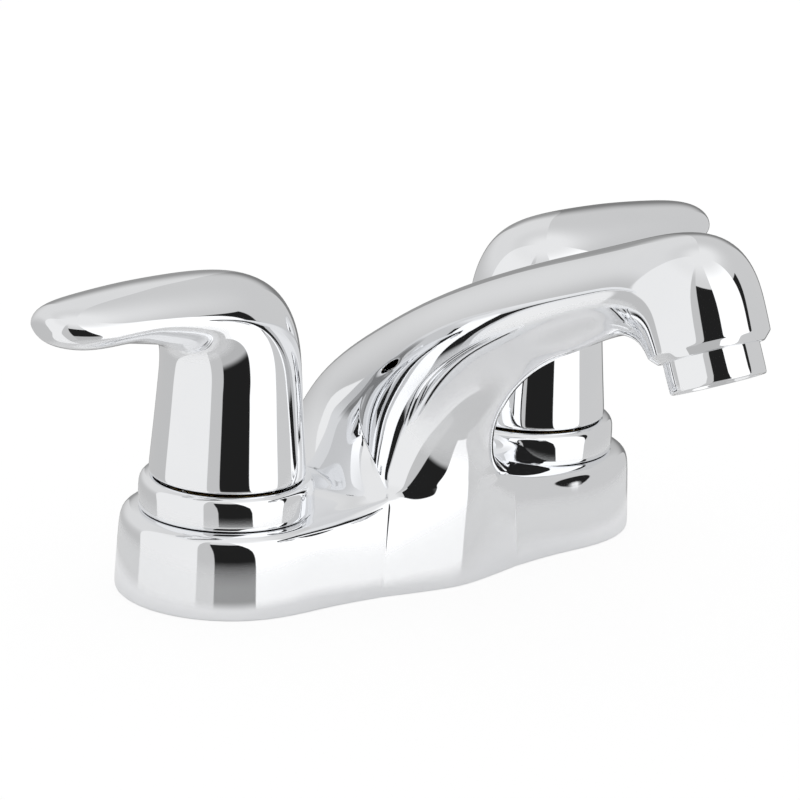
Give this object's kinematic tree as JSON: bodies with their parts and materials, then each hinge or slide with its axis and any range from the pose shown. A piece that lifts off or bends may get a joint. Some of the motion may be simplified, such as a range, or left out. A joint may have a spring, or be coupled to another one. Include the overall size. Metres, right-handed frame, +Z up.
{
  "type": "centerset bathroom faucet",
  "caption": "Chrome centerset basin faucet: a long rounded base, a rising spout with a tilted outlet, and a lever handle on a collar at each end.",
  "frame": {"origin": "middle of the base's underside, on the plane that lies on the sink", "axes": "+X along the base to the right-hand handle, -Y towards the spout's outlet and the user, +Z up"},
  "size_m": [0.2184, 0.16, 0.1585],
  "materials": {
    "chrome": "polished",
    "brass": "machined",
    "copper_alloy": "drawn tube",
    "steel": "plain",
    "rubber": "matte",
    "base_plastic": "matte",
    "strainer_plastic": "satin",
    "nut_plastic": "satin",
    "disc_ceramic": "lapped"
  },
  "bodies": {
    "base": {"spout_body": "chrome", "base_plate": "base_plastic", "underbody": "brass", "spout_tube": "copper_alloy", "spout_tube_seals": "rubber", "aerator_housing": "chrome", "aerator_insert": "strainer_plastic", "aerator_washer": "rubber", "left_collar": "chrome", "left_cartridge_body": "brass", "left_stem_seal": "rubber", "left_fixed_disc": "disc_ceramic", "left_seat_seal": "rubber", "left_washer": "steel", "left_mounting_nut": "nut_plastic", "right_collar": "chrome", "right_cartridge_body": "brass", "right_stem_seal": "rubber", "right_fixed_disc": "disc_ceramic", "right_seat_seal": "rubber", "right_washer": "steel", "right_mounting_nut": "nut_plastic"},
    "left_lever": {"left_handle": "chrome", "left_handle_screw": "steel", "left_stem": "brass", "left_moving_disc": "disc_ceramic"},
    "right_lever": {"right_handle": "chrome", "right_handle_screw": "steel", "right_stem": "brass", "right_moving_disc": "disc_ceramic"}
  },
  "joints": [
    {"name": "left_handle_turn", "type": "hinge", "parent": "base", "child": "left_lever", "pos_m": [-0.0508, 0, 0.03], "axis": [0, 0, 1], "range_deg": [0, 90]},
    {"name": "right_handle_turn", "type": "hinge", "parent": "base", "child": "right_lever", "pos_m": [0.0508, 0, 0.03], "axis": [0, 0, 1], "range_deg": [-90, 0]}
  ]
}
